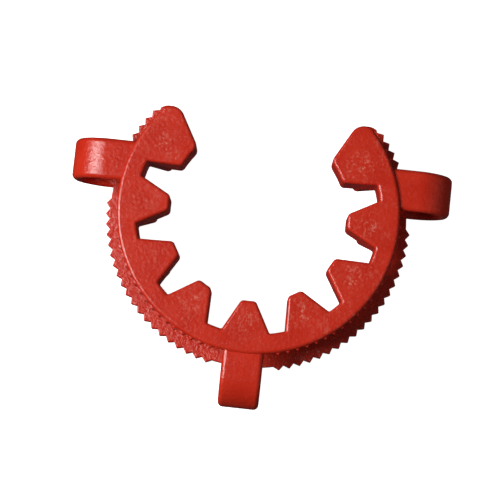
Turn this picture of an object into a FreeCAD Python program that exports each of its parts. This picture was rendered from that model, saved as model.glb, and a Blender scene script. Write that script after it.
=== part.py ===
"""Clip for a size 45 ground-glass taper joint, moulded in one red plastic.

Two toothed C-shaped rings lie one above the other and are tied together by three bowed
bridges. The front ring grips the tube above the cone, the back ring grips the neck under
the socket's rim, and the rim itself sits in the gap between the rings.

Frame: the origin is on the ring axis, in the plane of the back resting face. +Z points
from the back ring to the front ring, and +Y points out of the clip's mouth. Angles round
the rings are measured from -Y (the crown, opposite the mouth) and grow towards +X.
The moulding is divided where it bends: at the narrow band between two teeth, and halfway
round each bowed bridge.
"""
import FreeCAD, Part
import math
import os
from collections import namedtuple

# ---------------------------------------------------------------------------
# Driving dimensions, in millimetres and degrees
# ---------------------------------------------------------------------------
TOTAL_HEIGHT = 19.0            # resting face of the back ring to face of the front ring
FRONT_THICKNESS = 10.0
BACK_THICKNESS = 4.0           # the rest of the height is the gap for the socket's rim
LIP_HEIGHT = 1.0               # smooth lip in front of the front ring's serrated wall

FRONT_TIP_RADIUS = 21.0        # grips a tube of 42 mm
BACK_TIP_RADIUS = 24.5         # grips a socket neck of 49 mm
FRONT_ROOT_RADIUS = 28.7       # floor of the gaps between teeth
BACK_ROOT_RADIUS = 30.0
LIP_RADIUS = 33.3
FRONT_RIM_RADIUS = 32.6        # floor of the serrations
BACK_RIM_RADIUS = 36.0
FRONT_CREST_RADIUS = 33.8      # peaks of the serrations
BACK_CREST_RADIUS = 37.0
SERRATION_PITCH = 4.0
SIDE_PEAKS = (14.0, 90.0)      # first and last peak between the crown and a side bridge
FRONT_END_PEAKS = (118.0, 126.0)   # first and last peak between a side bridge and the mouth
BACK_END_PEAKS = (118.0, 130.0)

PLAIN_TEETH = 7
TOOTH_PITCH = 30.0
FRONT_GAP_HALF_ANGLE = 3.7     # half of a gap between teeth, at the root circle
BACK_GAP_HALF_ANGLE = 5.5
FRONT_TIP_WIDTH = 3.4
END_TIP_START = 115.2          # the wide end tooth's arc on the front tip circle
END_TIP_END = 131.1
RING_END_ANGLE = 138.5         # where the end face meets the lip circle
END_ROUNDING = 3.4

FLEXURE_RADIUS = 31.1          # neutral line of the bending band
RELIEF_HALF_ANGLE = 2.6        # each side of a flexure, outside the neutral line

BRIDGE_WIDTH = 9.7
BRIDGE_THICKNESS = 2.4
BOTTOM_REACH = 46.1            # ring axis to the outside of a bow
SIDE_REACH = 45.4
BRIDGE_STRAIGHT = 1.0          # straight stretch halfway round a bow
BRIDGE_ROOT = 30.0             # a leg starts inside the band and is trimmed to its wall
SIDE_BRIDGE_Y = 9.0            # centre line of the two side bridges

# ---------------------------------------------------------------------------
# Worked-out dimensions
# ---------------------------------------------------------------------------
FRONT_BOTTOM = TOTAL_HEIGHT - FRONT_THICKNESS
LIP_BOTTOM = TOTAL_HEIGHT - LIP_HEIGHT
BOW_MIDDLE = LIP_BOTTOM / 2                 # the bows run from the lip to the resting face
BOW_RADIUS = (LIP_BOTTOM - BRIDGE_STRAIGHT) / 2
TIP_HALF_ANGLE = math.degrees(FRONT_TIP_WIDTH / 2 / FRONT_TIP_RADIUS)
INNER_FLEXURE, MIDDLE_FLEXURE, OUTER_FLEXURE = [TOOTH_PITCH * (n + 0.5) for n in range(3)]
HALF_TURN = 180.0
FAR_RADIUS = 70.0                           # outside everything, for the cutting sectors
FAR_STEP = 30.0
Z_AXIS = FreeCAD.Vector(0, 0, 1)
ORIGIN = FreeCAD.Vector(0, 0, 0)

RingShape = namedtuple("RingShape", ("tip_radius", "root_radius", "gap_half_angle",
                                     "rim_radius", "crest_radius", "end_peaks"))
FRONT_SHAPE = RingShape(FRONT_TIP_RADIUS, FRONT_ROOT_RADIUS, FRONT_GAP_HALF_ANGLE,
                        FRONT_RIM_RADIUS, FRONT_CREST_RADIUS, FRONT_END_PEAKS)
BACK_SHAPE = RingShape(BACK_TIP_RADIUS, BACK_ROOT_RADIUS, BACK_GAP_HALF_ANGLE,
                       BACK_RIM_RADIUS, BACK_CREST_RADIUS, BACK_END_PEAKS)


# ---------------------------------------------------------------------------
# Plane geometry
# ---------------------------------------------------------------------------
def at(radius, angle):
    """The point at a radius from the ring axis and an angle from the crown."""
    turn = math.radians(angle)
    return FreeCAD.Vector(radius * math.sin(turn), -radius * math.cos(turn), 0)


def angle_of(point):
    return math.degrees(math.atan2(point.x, -point.y))


def on_line(inner, outer, radius):
    """Where the line from inner to outer crosses a circle about the ring axis."""
    step = outer - inner
    a = step.dot(step)
    b = inner.dot(step)
    c = inner.dot(inner) - radius ** 2
    share = (-b + math.sqrt(b * b - a * c)) / a
    return inner + step * share


def arc(radius, start, end):
    """A circular edge about the ring axis."""
    middle = (start + end) / 2
    return Part.Arc(at(radius, start), at(radius, middle), at(radius, end)).toShape()


def line(start, end):
    return Part.LineSegment(start, end).toShape()


def prism(edges, bottom, height):
    """A solid of the given height on a closed outline."""
    outline = Part.Wire(Part.sortEdges(edges)[0])
    solid = Part.Face(outline).extrude(Z_AXIS * height)
    solid.translate(Z_AXIS * bottom)
    return solid


# ---------------------------------------------------------------------------
# Ring outlines
# ---------------------------------------------------------------------------
def plain_tooth(centre, shape):
    """Edges of one tooth, from root circle to root circle."""
    edges = []
    tips = []
    half_angle = TOOTH_PITCH / 2 - shape.gap_half_angle
    for side in (-1, 1):
        root = at(shape.root_radius, centre + side * half_angle)
        front_tip = at(FRONT_TIP_RADIUS, centre + side * TIP_HALF_ANGLE)
        tip = on_line(front_tip, root, shape.tip_radius)
        edges.append(line(root, tip))
        tips.append(angle_of(tip))
    edges.append(arc(shape.tip_radius, tips[0], tips[1]))
    return edges


def end_tooth(side, shape):
    """Edges of the wide tooth beside the mouth, from root circle to the rim's corner."""
    start = TOOTH_PITCH * PLAIN_TEETH / 2 + shape.gap_half_angle
    root = at(shape.root_radius, side * start)
    flank_tip = on_line(at(FRONT_TIP_RADIUS, side * END_TIP_START), root, shape.tip_radius)
    end_inner = at(FRONT_TIP_RADIUS, side * END_TIP_END)
    end_outer = at(LIP_RADIUS, side * RING_END_ANGLE)
    end_tip = on_line(end_inner, end_outer, shape.tip_radius)
    corner = on_line(end_inner, end_outer, shape.rim_radius)
    edges = [line(root, flank_tip), line(end_tip, corner)]
    edges.append(arc(shape.tip_radius, angle_of(flank_tip), angle_of(end_tip)))
    return edges, corner


def root_arcs(shape):
    """The floors of the gaps between teeth."""
    edges = []
    gaps = PLAIN_TEETH + 1
    half = shape.gap_half_angle
    for n in range(gaps):
        centre = TOOTH_PITCH * (n - (gaps - 1) / 2)
        edges.append(arc(shape.root_radius, centre - half, centre + half))
    return edges


def peak_angles(end_peaks):
    """Serration peaks right round a ring, in order; the stretches by the bridges are plain."""
    peaks = []
    for first, last in (SIDE_PEAKS, end_peaks):
        count = round((last - first) / SERRATION_PITCH) + 1
        peaks += [first + SERRATION_PITCH * n for n in range(count)]
    return sorted([-peak for peak in peaks] + peaks)


def rim(shape, end, peaks):
    """Edges of the outer wall from one end of the ring to the other."""
    edges = []
    radius = shape.rim_radius
    here = -end
    for peak in peaks:
        foot = peak - SERRATION_PITCH / 2
        if foot > here:
            edges.append(arc(radius, here, foot))
        here = peak + SERRATION_PITCH / 2
        crest = at(shape.crest_radius, peak)
        edges.append(line(at(radius, foot), crest))
        edges.append(line(crest, at(radius, here)))
    edges.append(arc(radius, here, end))
    return edges


def ring_plate(shape, bottom, top):
    """One level of a ring, with its end corners rounded. No end peaks means a plain rim."""
    edges = root_arcs(shape)
    for n in range(PLAIN_TEETH):
        centre = TOOTH_PITCH * (n - (PLAIN_TEETH - 1) / 2)
        edges += plain_tooth(centre, shape)
    corners = []
    for side in (-1, 1):
        tooth, corner = end_tooth(side, shape)
        edges += tooth
        corners.append(corner)
    peaks = peak_angles(shape.end_peaks) if shape.end_peaks else []
    edges += rim(shape, angle_of(corners[1]), peaks)
    plate = prism(edges, bottom, top - bottom)
    return round_upright_edges(plate, corners)


def round_upright_edges(plate, corners):
    """Round the edges that stand over the given points of the outline."""
    chosen = []
    for edge in plate.Edges:
        spots = [FreeCAD.Vector(v.X, v.Y, 0) for v in edge.Vertexes]
        for corner in corners:
            if len(spots) == 2 and all(spot.isEqual(corner, 1e-4) for spot in spots):
                chosen.append(edge)
    return plate.makeFillet(END_ROUNDING, chosen)


def front_ring():
    lip_shape = FRONT_SHAPE._replace(rim_radius=LIP_RADIUS, end_peaks=None)
    lip = ring_plate(lip_shape, LIP_BOTTOM, TOTAL_HEIGHT)
    body = ring_plate(FRONT_SHAPE, FRONT_BOTTOM, LIP_BOTTOM)
    return lip.fuse(body).removeSplitter()


def back_ring():
    return ring_plate(BACK_SHAPE, 0, BACK_THICKNESS)


# ---------------------------------------------------------------------------
# Division at the flexures
# ---------------------------------------------------------------------------
def sector(low, high):
    """A prism that holds the ring between two angles.

    Outside the neutral line each flexure side is cut back, so that two neighbours can
    fold towards each other on the outside while the mouth opens.
    """
    points = [ORIGIN]
    low_relief = RELIEF_HALF_ANGLE if low > -HALF_TURN else 0
    high_relief = RELIEF_HALF_ANGLE if high < HALF_TURN else 0
    low_pivot = at(FLEXURE_RADIUS, low)
    high_pivot = at(FLEXURE_RADIUS, high)
    points.append(low_pivot)
    points.append(low_pivot + at(FAR_RADIUS, low + low_relief))
    steps = math.ceil((high - low) / FAR_STEP)
    for n in range(1, steps):
        points.append(at(FAR_RADIUS + FLEXURE_RADIUS, low + (high - low) * n / steps))
    points.append(high_pivot + at(FAR_RADIUS, high - high_relief))
    points.append(high_pivot)
    edges = [line(a, b) for a, b in zip(points, points[1:] + points[:1])]
    return prism(edges, -1, TOTAL_HEIGHT + 2)


def segment_limits():
    """Each segment's name and the angles that it lies between."""
    limits = {"crown": (-INNER_FLEXURE, INNER_FLEXURE)}
    right = {
        "inner": (INNER_FLEXURE, MIDDLE_FLEXURE),
        "outer": (MIDDLE_FLEXURE, OUTER_FLEXURE),
        "end": (OUTER_FLEXURE, HALF_TURN),
    }
    for name, (low, high) in right.items():
        limits["right_" + name] = (low, high)
        limits["left_" + name] = (-high, -low)
    return limits


def ring_segments(level, ring):
    """The ring of one level as named solids."""
    segments = {}
    for name, (low, high) in segment_limits().items():
        segments[f"{level}_{name}_segment"] = ring.common(sector(low, high))
    return segments


# ---------------------------------------------------------------------------
# Bowed bridges
# ---------------------------------------------------------------------------
def front_half_bow(reach):
    """The front half of a bridge that reaches out along +X, centred on Y = 0."""
    top = LIP_BOTTOM
    under = top - BRIDGE_THICKNESS
    arc_z = BOW_MIDDLE + BRIDGE_STRAIGHT / 2
    arc_x = reach - BOW_RADIUS
    inner_radius = BOW_RADIUS - BRIDGE_THICKNESS
    diagonal = math.sqrt(0.5)

    def spot(x, z):
        return FreeCAD.Vector(x, -BRIDGE_WIDTH / 2, z)

    def quarter(radius):
        middle = spot(arc_x + radius * diagonal, arc_z + radius * diagonal)
        start = spot(arc_x, arc_z + radius)
        return Part.Arc(start, middle, spot(arc_x + radius, arc_z)).toShape()

    outer_x = reach
    inner_x = reach - BRIDGE_THICKNESS
    edges = [
        line(spot(BRIDGE_ROOT, top), spot(arc_x, top)),
        quarter(BOW_RADIUS),
        line(spot(outer_x, arc_z), spot(outer_x, BOW_MIDDLE)),
        line(spot(outer_x, BOW_MIDDLE), spot(inner_x, BOW_MIDDLE)),
        line(spot(inner_x, BOW_MIDDLE), spot(inner_x, arc_z)),
        quarter(inner_radius),
        line(spot(arc_x, under), spot(BRIDGE_ROOT, under)),
        line(spot(BRIDGE_ROOT, under), spot(BRIDGE_ROOT, top)),
    ]
    outline = Part.Wire(Part.sortEdges(edges)[0])
    return Part.Face(outline).extrude(FreeCAD.Vector(0, BRIDGE_WIDTH, 0))


def bridge_halves(segments):
    """The six half bridges, each trimmed to the wall of the segment that it grows from."""
    places = {
        "bottom": ("crown", BOTTOM_REACH, -90, 0),
        "right": ("right_end", SIDE_REACH, 0, SIDE_BRIDGE_Y),
        "left": ("left_end", SIDE_REACH, 180, SIDE_BRIDGE_Y),
    }
    halves = {}
    for place, (segment, reach, turn, y) in places.items():
        front = front_half_bow(reach)
        back = front.mirror(FreeCAD.Vector(0, 0, BOW_MIDDLE), Z_AXIS)
        for level, half in (("front", front), ("back", back)):
            solid = half.copy()
            solid.rotate(ORIGIN, Z_AXIS, turn)
            solid.translate(FreeCAD.Vector(0, y, 0))
            root = segments[f"{level}_{segment}_segment"]
            halves[f"{place}_bridge_{level}_half"] = solid.cut(root)
    return halves


def main():
    os.makedirs("parts", exist_ok=True)
    nodes = ring_segments("front", front_ring())
    nodes.update(ring_segments("back", back_ring()))
    nodes.update(bridge_halves(nodes))
    for name, shape in nodes.items():
        solids = shape.Solids
        print(name, len(solids), shape.isValid(), round(shape.Volume, 1))
        shape.exportStep(f"parts/{name}.step")


main()
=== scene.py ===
"""Looks of the size 45 joint clip: one springy moulding in satin red plastic.

Two toothed C-shaped rings lie one above the other and are tied by three bowed bridges.
Millimetres and degrees throughout; meshes are scaled to metres when they are made.
The ring axis is Z, the resting face is z = 0 and the mouth opens towards +Y. Angles round
the rings start at -Y (the crown) and grow towards +X.
Each ring is drawn as six pieces that meet at tooth centres, each holding one narrow band.
"""
import math
from collections import namedtuple

import bmesh
import bpy
import numpy as np
from mathutils import Matrix, Vector

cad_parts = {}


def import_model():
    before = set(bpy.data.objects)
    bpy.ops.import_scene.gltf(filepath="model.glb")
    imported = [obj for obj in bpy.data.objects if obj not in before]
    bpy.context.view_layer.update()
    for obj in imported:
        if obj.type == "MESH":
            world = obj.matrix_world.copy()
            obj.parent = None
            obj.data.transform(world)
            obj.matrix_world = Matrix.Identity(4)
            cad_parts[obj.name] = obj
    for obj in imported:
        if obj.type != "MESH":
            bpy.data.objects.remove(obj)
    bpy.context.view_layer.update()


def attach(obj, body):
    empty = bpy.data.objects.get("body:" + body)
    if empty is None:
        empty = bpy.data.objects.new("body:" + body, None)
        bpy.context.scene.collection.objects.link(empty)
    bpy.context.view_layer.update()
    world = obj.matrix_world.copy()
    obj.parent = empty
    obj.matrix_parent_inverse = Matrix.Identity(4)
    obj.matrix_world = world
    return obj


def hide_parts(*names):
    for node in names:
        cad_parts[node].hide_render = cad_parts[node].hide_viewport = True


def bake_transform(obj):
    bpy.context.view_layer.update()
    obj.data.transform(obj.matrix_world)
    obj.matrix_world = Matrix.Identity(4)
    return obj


# ---------------------------------------------------------------------------
# Dimensions of the clip
# ---------------------------------------------------------------------------
MM = 0.001                     # metres in a millimetre
TOTAL_HEIGHT = 19.0
FRONT_THICKNESS = 10.0
BACK_THICKNESS = 4.0
LIP_HEIGHT = 1.0

FRONT_TIP_RADIUS = 21.0
BACK_TIP_RADIUS = 24.5
FRONT_ROOT_RADIUS = 28.7
BACK_ROOT_RADIUS = 30.0
LIP_RADIUS = 33.3
FRONT_RIM_RADIUS = 32.6
BACK_RIM_RADIUS = 36.0
FRONT_CREST_RADIUS = 33.8
BACK_CREST_RADIUS = 37.0
SERRATION_PITCH = 4.0
SIDE_PEAKS = (14.0, 90.0)
FRONT_END_PEAKS = (118.0, 126.0)
BACK_END_PEAKS = (118.0, 130.0)

PLAIN_TEETH = 7
TOOTH_PITCH = 30.0
FRONT_GAP_HALF_ANGLE = 3.7
BACK_GAP_HALF_ANGLE = 5.5
FRONT_TIP_WIDTH = 3.4
END_TIP_START = 115.2
END_TIP_END = 131.1
RING_END_ANGLE = 138.5
END_ROUNDING = 3.4

FLEXURE_RADIUS = 31.1

BRIDGE_WIDTH = 9.7
BRIDGE_THICKNESS = 2.4
BOTTOM_REACH = 46.1
SIDE_REACH = 45.4
BRIDGE_STRAIGHT = 1.0
BRIDGE_ROOT = 30.0
SIDE_BRIDGE_Y = 9.0

# Edge roundings, which are too small for the CAD solids
TIP_ROUNDING = 1.2
ROOT_ROUNDING = 0.4
END_TIP_ROUNDING = 1.7
TOOTH_EDGE = 0.75
LIP_EDGE = 0.9
BACK_EDGE = 0.35
HIDDEN_EDGE = 0.15
SHELF_FALL = 0.03              # keeps the shelf under the lip a hair off level
BRIDGE_EDGE = 1.15
TONGUE_LENGTH = 1.5            # carries a side strap's front half on, inside the back half
TONGUE_INSET = 0.04

# Worked out
FRONT_BOTTOM = TOTAL_HEIGHT - FRONT_THICKNESS
LIP_BOTTOM = TOTAL_HEIGHT - LIP_HEIGHT
BOW_MIDDLE = LIP_BOTTOM / 2
BOW_RADIUS = (LIP_BOTTOM - BRIDGE_STRAIGHT) / 2
TIP_HALF_ANGLE = math.degrees(FRONT_TIP_WIDTH / 2 / FRONT_TIP_RADIUS)
CUT_ANGLES = (TOOTH_PITCH, TOOTH_PITCH * 2)

RingShape = namedtuple("RingShape", "tip_radius root_radius gap_half_angle rim_radius")
FRONT_SHAPE = RingShape(FRONT_TIP_RADIUS, FRONT_ROOT_RADIUS, FRONT_GAP_HALF_ANGLE, LIP_RADIUS)
BACK_SHAPE = RingShape(BACK_TIP_RADIUS, BACK_ROOT_RADIUS, BACK_GAP_HALF_ANGLE, BACK_RIM_RADIUS)

# Mesh fineness
ARC_STEP = 0.5
LINE_STEP = 0.8
CORNER_STEPS = 6               # doubled for a rounding of LARGE_ROUNDING or more
LARGE_ROUNDING = 1.0
EDGE_STEPS = 4
BOW_STEPS = 20
SMOOTH_ANGLE = 35.0
SAME_ANGLE = 1e-4              # outline points this close to a cut angle lie on the cut
CORNER_CLEARANCE = 1.02        # outline points within this many cuts of a corner are dropped

# ---------------------------------------------------------------------------
# Colour, light and camera, in metres
# ---------------------------------------------------------------------------
RED = (0.58, 0.021, 0.006)
RED_LIGHT = (0.64, 0.030, 0.011)
# pale scuff colour, also used for painted sheen and painted highlight specks on the face
SCUFF_AND_SHEEN = (0.86, 0.30, 0.22)
SKIN_DEPTH = 0.00018
BACK_SKIN_DEPTH = 0.00032      # the back ring's skin is coarser
SCUFF_RADIUS = 26.0 * MM       # the scuffs sit on the teeth, this far from the ring axis
SCUFF_REACH = 4.5 * MM
FLOOR_WHITE = (0.9, 0.9, 0.9)
FLOOR_SIZE = 60.0
WORLD_ABOVE = 0.07             # strength of the sky above and below the horizon
WORLD_BELOW = 0.025
WORLD_FADE = (-0.2, 0.4)       # the heights between which one fades to the other
LIGHT_TARGET = (0, 0, 0.01)
KEY_PLACE = (-0.56, -0.04, 0.60)
KEY_SIZE = 0.40
KEY_POWER = 7.2
FILL_PLACE = (0.60, -0.10, 0.26)
FILL_SIZE = 0.50
FILL_POWER = 0.5
CAMERA_PLACE = (0.003, -0.050, 0.449)
CAMERA_TURN = (0.0983, 0.0023, 0.1072)
CAMERA_LENS = 136.2
CAMERA_SENSOR = 36.0


# ---------------------------------------------------------------------------
# Plane geometry
# ---------------------------------------------------------------------------
def at(radius, angle):
    """The point at a radius from the ring axis and an angle from the crown."""
    turn = math.radians(angle)
    return np.array([radius * math.sin(turn), -radius * math.cos(turn)])


def angle_of(point):
    return math.degrees(math.atan2(point[0], -point[1]))


def on_line(inner, outer, radius):
    """Where the line from inner to outer crosses a circle about the ring axis."""
    step = outer - inner
    a = step @ step
    b = inner @ step
    c = inner @ inner - radius ** 2
    return inner + step * (-b + math.sqrt(b * b - a * c)) / a


def arc_points(radius, start, end):
    """Points on a circle about the ring axis; an even count keeps the middle exact."""
    count = 2 * max(1, math.ceil(abs(end - start) / ARC_STEP / 2))
    return [at(radius, start + (end - start) * n / count) for n in range(count + 1)]


def line_points(start, end):
    count = max(1, round(np.linalg.norm(end - start) / LINE_STEP))
    return [start + (end - start) * n / count for n in range(count + 1)]


def unit(vector):
    return vector / np.linalg.norm(vector)


def rounded_corner(before, after, radius):
    """Cuts a corner back on both sides and returns both sides and the arc between."""
    corner = before[-1]
    back = unit(before[-2] - corner)
    ahead = unit(after[1] - corner)
    half = math.acos(np.clip(back @ ahead, -1, 1)) / 2
    cut = radius / math.tan(half)
    first = corner + back * cut
    last = corner + ahead * cut
    centre = corner + unit(back + ahead) * radius / math.sin(half)
    reach = cut * CORNER_CLEARANCE
    before = [p for p in before if np.linalg.norm(p - corner) > reach]
    after = [p for p in after if np.linalg.norm(p - corner) > reach]
    sweep = math.pi - 2 * half
    steps = CORNER_STEPS if radius < LARGE_ROUNDING else 2 * CORNER_STEPS
    arc = []
    for n in range(steps + 1):
        share = n / steps
        a = math.sin((1 - share) * sweep) / math.sin(sweep)
        b = math.sin(share * sweep) / math.sin(sweep)
        arc.append(centre + (first - centre) * a + (last - centre) * b)
    return before, arc, after


# ---------------------------------------------------------------------------
# Ring outlines
# ---------------------------------------------------------------------------
def tooth_sections(centre, shape, first_half):
    """The sides and tip of one plain tooth, or of its right half only."""
    sections = []
    tips = {}
    half_angle = TOOTH_PITCH / 2 - shape.gap_half_angle
    for side in (-1, 1):
        root = at(shape.root_radius, centre + side * half_angle)
        front_tip = at(FRONT_TIP_RADIUS, centre + side * TIP_HALF_ANGLE)
        tips[side] = (on_line(front_tip, root, shape.tip_radius), root)
    if first_half:
        sections.append(arc_points(shape.tip_radius, centre, angle_of(tips[1][0])))
    else:
        sections.append(line_points(tips[-1][1], tips[-1][0]))
        sections.append(arc_points(shape.tip_radius, angle_of(tips[-1][0]), angle_of(tips[1][0])))
    sections.append(line_points(*tips[1]))
    return sections


def outer_arc(radius, end):
    """The rim from the ring's end back to the crown, with the cut angles exact."""
    angles = set(np.arange(0, end, ARC_STEP).round(6)) | set(CUT_ANGLES) | {end}
    return [at(radius, angle) for angle in sorted(angles, reverse=True)]


def half_outline(shape):
    """The right half of a ring's outline, from the crown's tip round to the crown's rim.

    Returns the points and, for each, how far it belongs to the outer wall, 0 to 1.
    """
    sections = []
    corners = []
    for n in range(PLAIN_TEETH // 2 + 1):
        centre = TOOTH_PITCH * n
        tooth = tooth_sections(centre, shape, n == 0)
        sections += tooth
        corners += [TIP_ROUNDING] * (len(tooth) - 1) + [ROOT_ROUNDING]
        gap_start = centre + TOOTH_PITCH / 2 - shape.gap_half_angle
        gap_end = gap_start + 2 * shape.gap_half_angle
        sections.append(arc_points(shape.root_radius, gap_start, gap_end))
        corners.append(ROOT_ROUNDING)
    root = at(shape.root_radius, gap_end)
    flank_tip = on_line(at(FRONT_TIP_RADIUS, END_TIP_START), root, shape.tip_radius)
    end_inner = at(FRONT_TIP_RADIUS, END_TIP_END)
    end_outer = at(LIP_RADIUS, RING_END_ANGLE)
    end_tip = on_line(end_inner, end_outer, shape.tip_radius)
    corner = on_line(end_inner, end_outer, shape.rim_radius)
    sections.append(line_points(root, flank_tip))
    corners.append(TIP_ROUNDING)
    sections.append(arc_points(shape.tip_radius, angle_of(flank_tip), angle_of(end_tip)))
    corners.append(END_TIP_ROUNDING)
    sections.append(line_points(end_tip, corner))
    corners.append(END_ROUNDING)
    sections.append(outer_arc(shape.rim_radius, angle_of(corner)))
    points = []
    outerness = []
    here = sections[0]
    for following, radius in zip(sections[1:], corners):
        here, arc, following = rounded_corner(here, following, radius)
        last = radius == END_ROUNDING
        points += here + arc
        outerness += [0.0] * len(here)
        outerness += [n / (len(arc) - 1) if last else 0.0 for n in range(len(arc))]
        here = following
    points += here
    outerness += [1.0] * len(here)
    return np.array(points), np.array(outerness)


def mirrored_loop(points, outerness):
    """The whole closed outline from its right half; both halves share the crown points."""
    left = points[1:-1][::-1] * (-1, 1)
    return np.vstack([points, left]), np.concatenate([outerness, outerness[1:-1][::-1]])


def inward(loop):
    """The mitred normals of a closed outline, pointing into the plastic."""
    ahead = np.roll(loop, -1, axis=0) - loop
    ahead /= np.linalg.norm(ahead, axis=1)[:, None]
    behind = np.roll(ahead, 1, axis=0)
    tangent = ahead + behind
    tangent /= np.linalg.norm(tangent, axis=1)[:, None]
    mitre = np.clip((tangent * ahead).sum(axis=1), 0.5, 1)
    return np.stack([tangent[:, 1], -tangent[:, 0]], axis=1) / mitre[:, None]


def serrated(loop, outerness, depth, end_peaks):
    """The outline with triangular grip serrations raised on its outer wall."""
    result = loop.copy()
    for index, point in enumerate(loop):
        if outerness[index] < 1:
            continue
        angle = abs(angle_of(point))
        for first, last in (SIDE_PEAKS, end_peaks):
            if first - SERRATION_PITCH / 2 < angle < last + SERRATION_PITCH / 2:
                offset = (angle - first + SERRATION_PITCH / 2) % SERRATION_PITCH
                height = 1 - abs(offset / SERRATION_PITCH * 2 - 1)
                result[index] += unit(point) * depth * height
    return result


# ---------------------------------------------------------------------------
# Meshes
# ---------------------------------------------------------------------------
def edge_layers(loop, normals, sizes, top):
    """Outlines that round the top edge over; sizes is the rounding at each point."""
    layers = []
    for n in range(EDGE_STEPS + 1):
        turn = math.pi / 2 * n / EDGE_STEPS
        flat = loop + normals * (sizes * (1 - math.sin(turn)))[:, None]
        height = top - sizes * (1 - math.cos(turn))
        layers.append(np.column_stack([flat, height]))
    return layers


def at_height(loop, height):
    return np.column_stack([loop, np.full(len(loop), height)])


def front_layers():
    """Outlines of the front ring from its face down to its back."""
    loop, outerness = mirrored_loop(*half_outline(FRONT_SHAPE))
    normals = inward(loop)
    sizes = TOOTH_EDGE + (LIP_EDGE - TOOTH_EDGE) * outerness
    layers = edge_layers(loop, normals, sizes, TOTAL_HEIGHT)
    layers.append(at_height(loop, LIP_BOTTOM))
    step = (LIP_RADIUS - FRONT_RIM_RADIUS) * outerness
    depth = FRONT_CREST_RADIUS - FRONT_RIM_RADIUS
    body = serrated(loop + normals * step[:, None], outerness, depth, FRONT_END_PEAKS)
    layers.append(at_height(body, LIP_BOTTOM - SHELF_FALL))
    layers.append(at_height(body, FRONT_BOTTOM + HIDDEN_EDGE))
    layers.append(at_height(body + inward(body) * HIDDEN_EDGE, FRONT_BOTTOM))
    return layers, loop


def back_layers():
    """Outlines of the back ring from its top down to the resting face."""
    loop, outerness = mirrored_loop(*half_outline(BACK_SHAPE))
    body = serrated(loop, outerness, BACK_CREST_RADIUS - BACK_RIM_RADIUS, BACK_END_PEAKS)
    normals = inward(body)
    sizes = np.full(len(loop), BACK_EDGE)
    layers = edge_layers(body, normals, sizes, BACK_THICKNESS)
    layers.append(at_height(body, HIDDEN_EDGE))
    layers.append(at_height(body + normals * HIDDEN_EDGE, 0))
    return layers, loop


def cut_index(loop, angle, outer):
    """The outline point at a cut angle, on the outer wall or on a tooth's tip."""
    best = None
    for index, point in enumerate(loop):
        is_outer = np.linalg.norm(point) > FLEXURE_RADIUS
        if is_outer == outer and abs(angle_of(point) - angle) < SAME_ANGLE:
            best = index
    return best


def piece_runs(loop, low, high):
    """The stretches of outline between two cut angles; None means the ring's end."""
    count = len(loop)
    if high is None:
        runs = [(cut_index(loop, low, False), cut_index(loop, low, True))]
    elif low is None:
        runs = [(cut_index(loop, high, True), cut_index(loop, high, False))]
    else:
        runs = [(cut_index(loop, low, False), cut_index(loop, high, False)),
                (cut_index(loop, high, True), cut_index(loop, low, True))]
    return [[n % count for n in range(a, b + 1 if b >= a else b + count + 1)] for a, b in runs]


def ring_piece(name, layers, runs):
    """One closed piece of a ring: caps, walls along the runs and faces at the cuts."""
    mesh = bmesh.new()
    outline = [index for run in runs for index in run]
    rows = []
    for layer in layers:
        rows.append([mesh.verts.new(layer[index] * MM) for index in outline])
    mesh.faces.new(rows[0][::-1])
    mesh.faces.new(rows[-1])
    for upper, lower in zip(rows, rows[1:]):
        for n in range(len(outline)):
            after = (n + 1) % len(outline)
            mesh.faces.new([upper[n], upper[after], lower[after], lower[n]])
    return finished(name, mesh)


def rounded_section(width, thickness, rounding):
    """A rounded rectangle as (across, up) pairs, in order."""
    points = []
    for corner, (side, up) in enumerate(((1, 1), (-1, 1), (-1, -1), (1, -1))):
        for n in range(EDGE_STEPS + 1):
            turn = math.pi / 2 * (corner + n / EDGE_STEPS)
            across = side * (width / 2 - rounding) + rounding * math.cos(turn)
            height = up * (thickness / 2 - rounding) + rounding * math.sin(turn)
            points.append((across, height))
    return points


def bow_path(outside):
    """Centre line of a bridge as (reach, height, lean), front leg first."""
    radius = BOW_RADIUS - BRIDGE_THICKNESS / 2
    arc_reach = outside - BOW_RADIUS
    top = LIP_BOTTOM - BRIDGE_THICKNESS / 2
    path = [(BRIDGE_ROOT, top, 90.0)]
    for n in range(BOW_STEPS + 1):
        lean = 90.0 - 90.0 * n / BOW_STEPS
        turn = math.radians(lean)
        reach = arc_reach + radius * math.cos(turn)
        path.append((reach, BOW_MIDDLE + BRIDGE_STRAIGHT / 2 + radius * math.sin(turn), lean))
    path.append((outside - BRIDGE_THICKNESS / 2, BOW_MIDDLE, 0.0))
    mirrored = [(reach, LIP_BOTTOM - height, -lean) for reach, height, lean in path[-2::-1]]
    return path, mirrored


def strap(name, stations, turn, y):
    """A strap swept through stations of (reach, height, lean, inset)."""
    mesh = bmesh.new()
    rows = []
    place = Matrix.Translation((0, y * MM, 0)) @ Matrix.Rotation(math.radians(turn), 4, "Z")
    for reach, height, lean, inset in stations:
        section = rounded_section(BRIDGE_WIDTH - 2 * inset, BRIDGE_THICKNESS - 2 * inset,
                                  BRIDGE_EDGE)
        out = math.cos(math.radians(lean))
        up = math.sin(math.radians(lean))
        row = []
        for across, proud in section:
            spot = Vector((reach + out * proud, across, height + up * proud)) * MM
            row.append(mesh.verts.new(place @ spot))
        rows.append(row)
    for upper, lower in zip(rows, rows[1:]):
        for n in range(len(upper)):
            after = (n + 1) % len(upper)
            mesh.faces.new([upper[n], lower[n], lower[after], upper[after]])
    mesh.faces.new(rows[0])
    mesh.faces.new(rows[-1][::-1])
    return finished(name, mesh)


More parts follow.
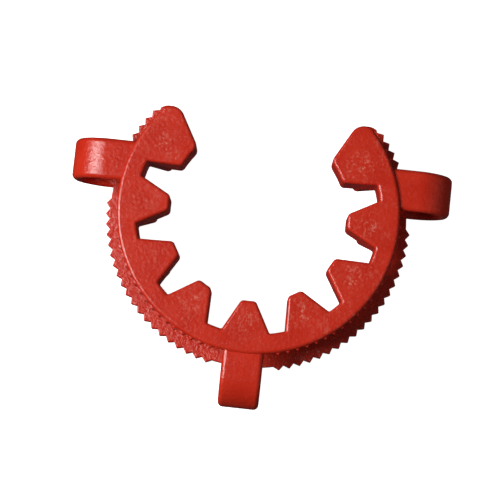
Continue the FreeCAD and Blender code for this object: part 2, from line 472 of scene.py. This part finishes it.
def finished(name, mesh):
    """Turns a bmesh into a smoothly shaded object with crisp corners."""
    bmesh.ops.recalc_face_normals(mesh, faces=mesh.faces)
    data = bpy.data.meshes.new(name)
    mesh.to_mesh(data)
    mesh.free()
    data.shade_smooth()
    data.set_sharp_from_angle(angle=math.radians(SMOOTH_ANGLE))
    piece = bpy.data.objects.new(name, data)
    bpy.context.collection.objects.link(piece)
    normals = piece.modifiers.new("flat_faces_stay_flat", "WEIGHTED_NORMAL")
    normals.keep_sharp = True
    return piece


# ---------------------------------------------------------------------------
# Material
# ---------------------------------------------------------------------------
class Shading:
    """Short ways to add the nodes that a procedural material is made of."""

    def __init__(self, material):
        material.use_nodes = True
        self.nodes = material.node_tree.nodes
        self.links = material.node_tree.links
        self.shader = self.nodes["Principled BSDF"]
        self.place = self.nodes.new("ShaderNodeTexCoord").outputs["Object"]

    def noise(self, scale, detail=3.0, roughness=0.5, place=None):
        texture = self.nodes.new("ShaderNodeTexNoise")
        texture.inputs["Scale"].default_value = scale
        texture.inputs["Detail"].default_value = detail
        texture.inputs["Roughness"].default_value = roughness
        self.links.new(place or self.place, texture.inputs["Vector"])
        return texture.outputs["Fac"]

    def ramp(self, value, low, high, out_low=0.0, out_high=1.0):
        node = self.nodes.new("ShaderNodeMapRange")
        self.links.new(value, node.inputs["Value"])
        node.inputs["From Min"].default_value = low
        node.inputs["From Max"].default_value = high
        node.inputs["To Min"].default_value = out_low
        node.inputs["To Max"].default_value = out_high
        return node.outputs["Result"]

    def math(self, operation, *values):
        node = self.nodes.new("ShaderNodeMath")
        node.operation = operation
        for value, socket in zip(values, node.inputs):
            if isinstance(value, float):
                socket.default_value = value
            else:
                self.links.new(value, socket)
        return node.outputs[0]

    def stretched(self, turn, stretch):
        """Object coordinates turned about Z and squeezed along one axis, for scratches."""
        node = self.nodes.new("ShaderNodeMapping")
        node.inputs["Rotation"].default_value = (0, 0, math.radians(turn))
        node.inputs["Scale"].default_value = (1, stretch, 1)
        self.links.new(self.place, node.inputs["Vector"])
        return node.outputs["Vector"]

    def mix(self, share, first, second):
        node = self.nodes.new("ShaderNodeMix")
        node.data_type = "RGBA"
        self.links.new(share, node.inputs["Factor"])
        for socket, colour in zip([i for i in node.inputs if i.type == "RGBA"], (first, second)):
            if isinstance(colour, tuple):
                socket.default_value = (*colour, 1)
            else:
                self.links.new(colour, socket)
        return [o for o in node.outputs if o.type == "RGBA"][0]


def tooth_centres(shading, x, y, z):
    """A mask that is 1 at the middle of each tooth's face and fades out round it."""
    angle = shading.math("ARCTAN2", x, shading.math("MULTIPLY", y, -1.0))
    teeth = shading.math("DIVIDE", angle, math.radians(TOOTH_PITCH))
    across = shading.math("SUBTRACT", teeth, shading.math("ROUND", teeth))
    across = shading.math("MULTIPLY", across, math.radians(TOOTH_PITCH) * SCUFF_RADIUS)
    squares = shading.math("ADD", shading.math("MULTIPLY", x, x), shading.math("MULTIPLY", y, y))
    along = shading.math("SUBTRACT", shading.math("SQRT", squares), SCUFF_RADIUS)
    distance = shading.math("SQRT", shading.math("ADD", shading.math("MULTIPLY", across, across),
                                                 shading.math("MULTIPLY", along, along)))
    near = shading.ramp(distance, SCUFF_REACH, 0.0)
    on_face = shading.ramp(z, (TOTAL_HEIGHT - 0.3) * MM, (TOTAL_HEIGHT - 0.1) * MM)
    return shading.math("MULTIPLY", near, on_face)


def scuff_and_sheen_places(shading, x, y, z):
    """How pale each place is painted: real scuffs at the tooth centres, and pale speckled patches
    on the face that are partly painted sheen; strongest on the right and by the mouth.
    """
    in_front = shading.ramp(z, (LIP_BOTTOM + 0.1) * MM, (LIP_BOTTOM + 0.4) * MM, 0.0, 0.25)
    # pale patches over the face: partly scuffs, partly painted sheen
    patches = shading.math("MULTIPLY", shading.ramp(shading.noise(120, 2), 0.46, 0.68), in_front)
    centres = shading.math("MULTIPLY", tooth_centres(shading, x, y, z),
                           shading.ramp(shading.noise(260), 0.34, 0.56))
    # paler towards the right: more scuffs there, and painted sheen on the right band
    right = shading.ramp(x, -LIP_RADIUS * MM, BACK_TIP_RADIUS * MM, 0.35, 1.0)
    by_mouth = shading.ramp(y, 4 * MM, 12 * MM)
    return shading.math("MULTIPLY", shading.math("MAXIMUM", patches, centres),
                        shading.math("MAXIMUM", right, by_mouth))


def red_plastic():
    """Satin moulded plastic: faint mottling, a fine leathery skin, and pale scuffs that are
    partly painted sheen and painted highlight specks.
    """
    material = bpy.data.materials.new("red_moulding")
    shading = Shading(material)
    shader = shading.shader
    split = shading.nodes.new("ShaderNodeSeparateXYZ")
    shading.links.new(shading.place, split.inputs[0])
    x, y, z = split.outputs
    mottle = shading.ramp(shading.noise(160), 0.35, 0.65)
    colour = shading.mix(mottle, RED, RED_LIGHT)
    specks = shading.ramp(shading.noise(1600, 3, 0.7), 0.54, 0.62)
    scratches = shading.noise(1500, 2, 0.5, shading.stretched(35, 0.25))
    marks = shading.math("MAXIMUM", specks, shading.ramp(scratches, 0.60, 0.70, 0.0, 0.8))
    # pale marks painted into the base colour: real scuffs and painted highlight specks
    scuff_and_sheen_share = shading.math("MULTIPLY", marks, scuff_and_sheen_places(shading, x, y, z))
    colour = shading.mix(scuff_and_sheen_share, colour, SCUFF_AND_SHEEN)
    shading.links.new(colour, shader.inputs["Base Color"])
    rough = shading.ramp(shading.noise(420, 3, 0.6), 0.3, 0.7, 0.21, 0.31)
    shading.links.new(rough, shader.inputs["Roughness"])
    skin = shading.noise(1100, 5, 0.6)
    bump = shading.nodes.new("ShaderNodeBump")
    bump.inputs["Strength"].default_value = 0.8
    depth = shading.ramp(z, (BACK_THICKNESS + 1) * MM, BACK_THICKNESS * MM,
                         SKIN_DEPTH, BACK_SKIN_DEPTH)
    shading.links.new(depth, bump.inputs["Distance"])
    shading.links.new(skin, bump.inputs["Height"])
    shading.links.new(bump.outputs["Normal"], shader.inputs["Normal"])
    shader.inputs["IOR"].default_value = 1.49
    shader.inputs["Specular IOR Level"].default_value = 0.65
    return material


def floor_white():
    material = bpy.data.materials.new("floor_white")
    material.use_nodes = True
    shader = material.node_tree.nodes["Principled BSDF"]
    shader.inputs["Base Color"].default_value = (*FLOOR_WHITE, 1)
    shader.inputs["Roughness"].default_value = 0.9
    shader.inputs["Emission Color"].default_value = (1, 1, 1, 1)
    shader.inputs["Emission Strength"].default_value = 1.0
    return material


def add_ring(level, layers, loop, plastic):
    """The six pieces of one ring, each holding its own flexure."""
    stops = [0.0, *CUT_ANGLES, None]
    bodies = ["crown", "inner", "outer", "end"]
    for n in range(3):
        for side, sign in (("right", 1), ("left", -1)):
            low, high = stops[n], stops[n + 1]
            if sign < 0:
                low, high = (None if high is None else -high), -low
            name = f"{level}_{side}_{bodies[n]}_to_{bodies[n + 1]}"
            piece = ring_piece(name, layers, piece_runs(loop, low, high))
            piece.data.materials.append(plastic)
            first = f"{level}_crown" if n == 0 else f"{level}_{side}_{bodies[n]}"
            second = f"{level}_{side}_{bodies[n + 1]}"
            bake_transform(piece)
            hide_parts(first + "_segment", second + "_segment")


def add_bridges(plastic):
    """The bottom bridge in one piece, and each side bridge in two halves."""
    front, back = bow_path(BOTTOM_REACH)
    whole = [(*station, 0) for station in front + back]
    bottom = strap("bottom_bridge", whole, -90, 0)
    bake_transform(bottom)
    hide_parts("bottom_bridge_front_half", "bottom_bridge_back_half")
    pieces = [bottom]
    front, back = bow_path(SIDE_REACH)
    reach = front[-1][0]
    tongue = [(reach, BOW_MIDDLE - drop, 0, TONGUE_INSET) for drop in (0.0, TONGUE_LENGTH)]
    upper = [(*station, 0) for station in front] + tongue
    lower = [(*station, 0) for station in [front[-1]] + back]
    for side, turn in (("right", 0), ("left", 180)):
        for level, stations in (("front", upper), ("back", lower)):
            half = strap(f"{side}_bridge_{level}", stations, turn, SIDE_BRIDGE_Y)
            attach(half, f"{level}_{side}_end")
            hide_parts(f"{side}_bridge_{level}_half")
            pieces.append(half)
    for piece in pieces:
        piece.data.materials.append(plastic)


def add_floor():
    bpy.ops.mesh.primitive_plane_add(size=FLOOR_SIZE, location=(0, 0, 0))
    floor = bpy.context.object
    floor.name = "floor"
    floor.data.materials.append(floor_white())
    floor.visible_diffuse = False
    floor.visible_glossy = False


def add_area_light(name, place, size, power):
    """A square lamp that shines on the clip."""
    data = bpy.data.lights.new(name, "AREA")
    data.size = size
    data.energy = power
    light = bpy.data.objects.new(name, data)
    light.location = place
    towards = Vector(LIGHT_TARGET) - Vector(place)
    light.rotation_euler = towards.to_track_quat("-Z", "Y").to_euler()
    bpy.context.collection.objects.link(light)
    return light


def add_world():
    """An even, dim studio above the floor that falls off to dark below it."""
    world = bpy.data.worlds.new("studio")
    world.use_nodes = True
    nodes = world.node_tree.nodes
    links = world.node_tree.links
    background = nodes["Background"]
    background.inputs["Color"].default_value = (1, 1, 1, 1)
    direction = nodes.new("ShaderNodeTexCoord").outputs["Generated"]
    split = nodes.new("ShaderNodeSeparateXYZ")
    links.new(direction, split.inputs[0])
    fade = nodes.new("ShaderNodeMapRange")
    fade.inputs["From Min"].default_value = WORLD_FADE[0]
    fade.inputs["From Max"].default_value = WORLD_FADE[1]
    fade.inputs["To Min"].default_value = WORLD_BELOW
    fade.inputs["To Max"].default_value = WORLD_ABOVE
    links.new(split.outputs["Z"], fade.inputs["Value"])
    links.new(fade.outputs["Result"], background.inputs["Strength"])
    bpy.context.scene.world = world


def add_camera():
    """Almost straight above the clip, turned a little and tilted towards the mouth."""
    data = bpy.data.cameras.new("camera")
    data.lens = CAMERA_LENS
    data.sensor_width = CAMERA_SENSOR
    data.clip_start = 0.01
    camera = bpy.data.objects.new("camera", data)
    camera.location = CAMERA_PLACE
    camera.rotation_euler = CAMERA_TURN
    bpy.context.collection.objects.link(camera)
    bpy.context.scene.camera = camera


def main():
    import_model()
    plastic = red_plastic()
    layers, loop = front_layers()
    add_ring("front", layers, loop, plastic)
    layers, loop = back_layers()
    add_ring("back", layers, loop, plastic)
    add_bridges(plastic)
    add_floor()
    add_area_light("key", KEY_PLACE, KEY_SIZE, KEY_POWER)
    fill = add_area_light("fill", FILL_PLACE, FILL_SIZE, FILL_POWER)
    fill.visible_glossy = False
    add_world()
    add_camera()
    bpy.context.scene.view_settings.view_transform = "Standard"


main()
